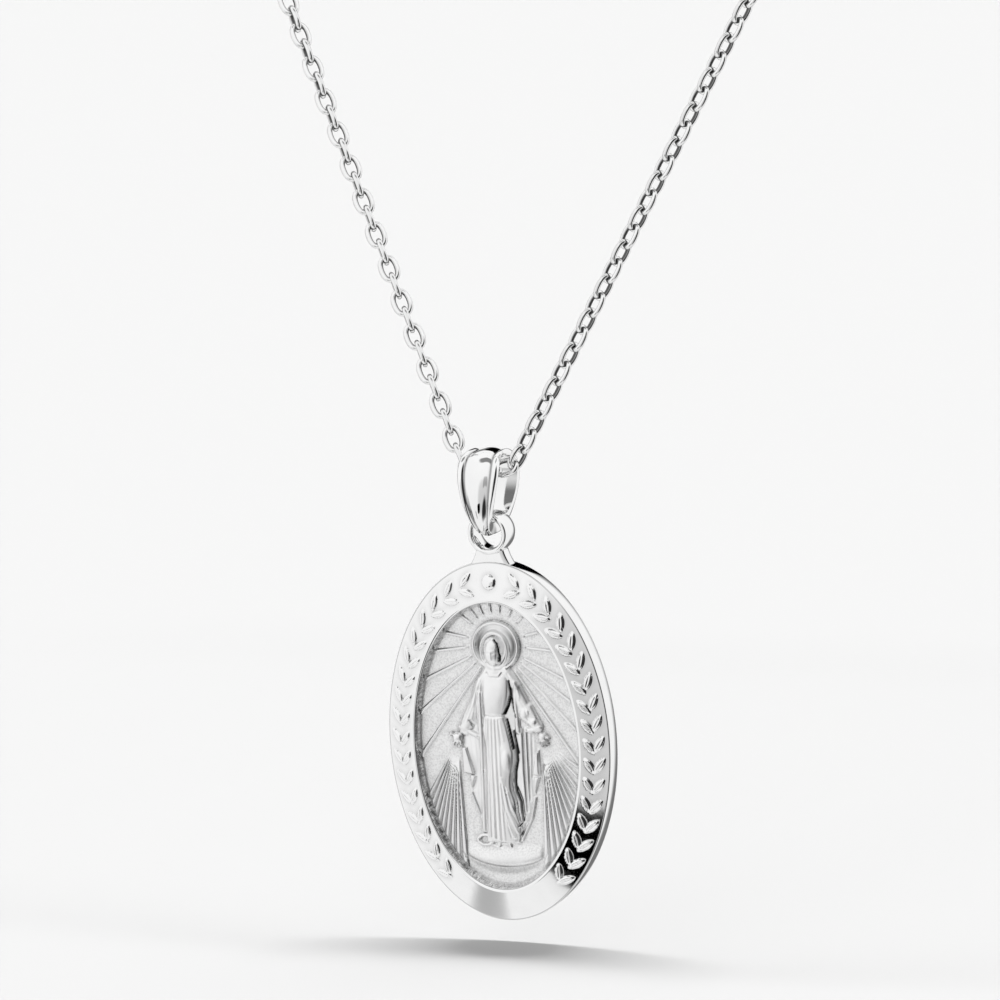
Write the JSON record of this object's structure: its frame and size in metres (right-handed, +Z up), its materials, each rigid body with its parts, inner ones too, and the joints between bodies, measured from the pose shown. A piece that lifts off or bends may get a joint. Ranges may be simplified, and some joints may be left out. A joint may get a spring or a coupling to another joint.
{
  "type": "religious medal pendant necklace",
  "caption": "Oval medal with a raised standing figure and rays, on a tapered bail and a fine cable chain with a spring-ring clasp.",
  "frame": {"origin": "middle of the nape, at the centre of the row of clasp and end ring, where the necklace sits on the wearer", "axes": "+Z up, the medal's face looks along -Y, +X to the right of someone who looks at the face"},
  "size_m": [0.1002, 0.1199, 0.1581],
  "materials": {
    "medal_silver": "bright rhodium-plated silver: mirror-polished rim, edge and back, fine sand-blasted field round a bright cast figure",
    "bail_silver": "mirror-polished rhodium-plated silver",
    "chain_silver": "polished rhodium-plated silver wire",
    "clasp_silver": "polished rhodium-plated silver"
  },
  "bodies": {
    "necklace": {"chain": "chain_silver", "clasp": "clasp_silver", "end_ring": "clasp_silver"},
    "bail": {"bail": "bail_silver"},
    "medal": {"medal": "medal_silver"}
  },
  "joints": [
    {"name": "bail_swing", "type": "hinge", "parent": "necklace", "child": "bail", "pos_m": [0, -0.11545, -0.12391], "axis": [1, 0, 0], "range_deg": [-90, 90]},
    {"name": "medal_swing", "type": "hinge", "parent": "bail", "child": "medal", "pos_m": [0, -0.11545, -0.12793], "axis": [0, 1, 0], "range_deg": [-60, 60]}
  ]
}
